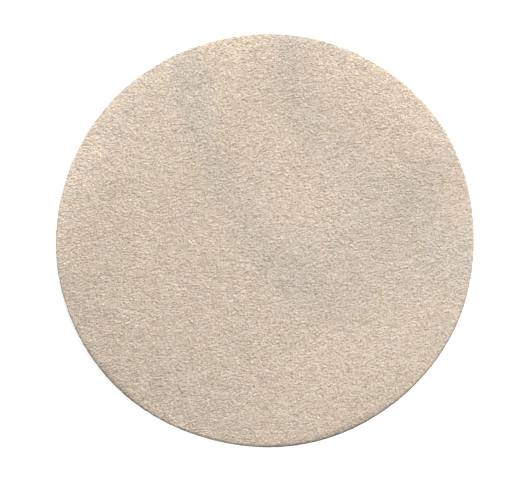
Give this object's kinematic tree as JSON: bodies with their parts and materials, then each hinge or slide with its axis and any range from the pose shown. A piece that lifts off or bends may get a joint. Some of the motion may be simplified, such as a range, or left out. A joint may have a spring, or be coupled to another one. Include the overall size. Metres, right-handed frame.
{
  "type": "felt polishing disc",
  "caption": "Round flat disc of pressed wool felt with a peel-and-stick back, which sticks to a lapidary machine's plate and polishes stone.",
  "frame": {"origin": "centre of the underside, where the release paper rests on a surface", "axes": "+Z out of the felt's working face, +Y along the slit in the release paper"},
  "size_m": [0.1522, 0.1524, 0.0035],
  "materials": {
    "wool_felt": "matte",
    "bonding_adhesive": "satin",
    "clear_film": "gloss",
    "mounting_adhesive": "gloss",
    "release_paper": "satin"
  },
  "bodies": {
    "pad": {"felt_disc": "wool_felt", "bonding_adhesive": "bonding_adhesive", "carrier_film": "clear_film", "mounting_adhesive": "mounting_adhesive"},
    "liner_left": {"release_liner_left": "release_paper"},
    "liner_right": {"release_liner_right": "release_paper"}
  },
  "joints": [
    {"name": "liner_left_peel", "type": "hinge", "parent": "pad", "child": "liner_left", "pos_m": [-0.07606, 0, 0.00007], "axis": [0, 1, 0], "range_deg": [0, 180]},
    {"name": "liner_right_peel", "type": "hinge", "parent": "pad", "child": "liner_right", "pos_m": [0.07606, 0, 0.00007], "axis": [0, -1, 0], "range_deg": [0, 180]}
  ]
}
